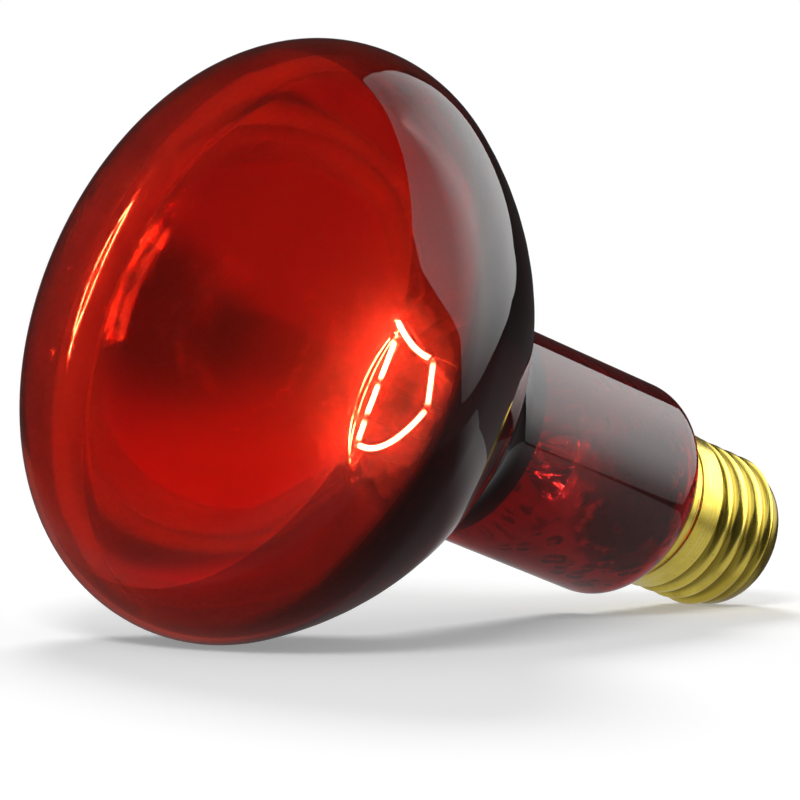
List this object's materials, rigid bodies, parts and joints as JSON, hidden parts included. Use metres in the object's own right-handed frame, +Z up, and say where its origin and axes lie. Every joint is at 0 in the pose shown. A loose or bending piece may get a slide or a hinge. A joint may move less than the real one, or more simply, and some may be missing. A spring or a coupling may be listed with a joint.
{
  "type": "infrared reflector lamp",
  "caption": "Infrared heat lamp bulb: ruby glass reflector envelope with a mirrored back, glowing filament on wire supports, and a brass Edison screw cap.",
  "frame": {"origin": "on the lamp's axis, in the middle of the thread of its screw cap", "axes": "+Z up as the lamp lies on a table; its axis lies in the XZ plane, from the face at -X to the cap at +X, dipping towards the cap by 18.94 degrees"},
  "size_m": [0.1331, 0.095, 0.0916],
  "materials": {
    "ruby_glass": "clear dark ruby glass, glossy",
    "mirror_film": "vapour-deposited mirror",
    "clear_glass": "clear glass, glossy",
    "tungsten": "glowing coiled tungsten",
    "molybdenum": "drawn wire, satin",
    "nickel": "plated wire, satin",
    "copper_wire": "drawn wire, dull",
    "brass": "rolled sheet, satin, lightly tarnished",
    "cement": "matt basing cement",
    "black_glass": "opaque black glass, glossy",
    "solder": "satin solder, slightly grey"
  },
  "bodies": {
    "root": {"bulb_head": "ruby_glass", "bulb_neck": "ruby_glass", "reflector_film": "mirror_film", "stem_flare": "clear_glass", "stem_press": "clear_glass", "exhaust_tube": "clear_glass", "arbor_rod": "clear_glass", "arbor_button": "clear_glass", "filament": "tungsten", "lead_clamps": "nickel", "inner_lead_upper": "nickel", "inner_lead_lower": "nickel", "seal_wires": "copper_wire", "outer_lead_centre": "copper_wire", "outer_lead_side": "copper_wire", "fuse_bead": "clear_glass", "screw_shell": "brass", "cement_ring": "cement", "insulator": "black_glass", "contact_eyelet": "brass", "contact_solder": "solder", "side_solder": "solder", "support_wire_1": "molybdenum", "support_wire_2": "molybdenum", "support_wire_3": "molybdenum", "support_wire_4": "molybdenum", "support_wire_5": "molybdenum"}
  },
  "joints": []
}
